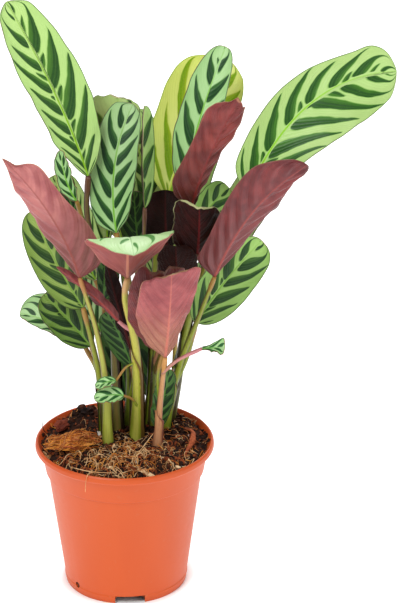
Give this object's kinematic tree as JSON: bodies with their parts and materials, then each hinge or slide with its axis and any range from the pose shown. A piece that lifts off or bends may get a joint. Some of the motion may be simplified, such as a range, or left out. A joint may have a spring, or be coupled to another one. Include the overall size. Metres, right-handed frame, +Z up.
{
  "type": "potted ctenanthe",
  "caption": "Leafy prayer plant with striped upright leaves on canes, growing from bark soil in a tapered nursery pot.",
  "frame": {"origin": "middle of the flat disc of the pot's base, in the plane that the pot stands on", "axes": "+Z up along the pot's axis; -Y is the front of the plant; +X to the right seen from the front"},
  "size_m": [0.2553, 0.2064, 0.3943],
  "materials": {
    "pot": "satin",
    "soil": "matte",
    "bark": "matte",
    "stem": "satin",
    "leaf": "satin"
  },
  "bodies": {
    "root": {"pot": "pot", "soil": "soil", "husk_chunk": "bark", "bark_chip": "bark", "bark_curl": "bark", "stem_front": "stem", "stem_front_right": "stem", "stem_right": "stem", "stem_left": "stem", "stem_far_left": "stem", "stem_rear_left": "stem", "stem_rear": "stem", "stem_centre": "stem", "stem_back_right": "stem", "stem_back": "stem", "stem_sprout": "stem", "leaf_top_left": "leaf", "leaf_upper_left": "leaf", "leaf_upper_left_rear": "leaf", "leaf_folded_centre": "leaf", "leaf_backlit_centre": "leaf", "leaf_top_centre": "leaf", "leaf_purple_centre": "leaf", "leaf_top_right": "leaf", "leaf_purple_right": "leaf", "leaf_maroon_small": "leaf", "leaf_maroon_cup": "leaf", "leaf_maroon_low": "leaf", "leaf_inner_right": "leaf", "leaf_front_arching": "leaf", "leaf_front_purple": "leaf", "leaf_front_purple_rear": "leaf", "leaf_purple_left": "leaf", "leaf_left_rear": "leaf", "leaf_low_left": "leaf", "leaf_low_left_tip": "leaf", "leaf_low_right": "leaf", "leaf_rolled_young": "leaf", "leaf_sprout_low": "leaf", "leaf_sprout_high": "leaf", "leaf_folded_left": "leaf", "leaf_shaded_left": "leaf", "leaf_shaded_right": "leaf", "leaf_dried_left": "leaf", "leaf_inner_left": "leaf", "leaf_inner_purple": "leaf", "leaf_left_inner": "leaf", "leaf_inner_olive": "leaf", "leaf_inner_low_left": "leaf", "leaf_inner_low_right": "leaf", "leaf_back_top": "leaf", "leaf_back_upper_left": "leaf", "leaf_back_middle": "leaf", "leaf_back_centre": "leaf", "leaf_back_right": "leaf", "leaf_back_left": "leaf", "leaf_back_low_right": "leaf", "leaf_back_low_left": "leaf"}
  },
  "joints": []
}
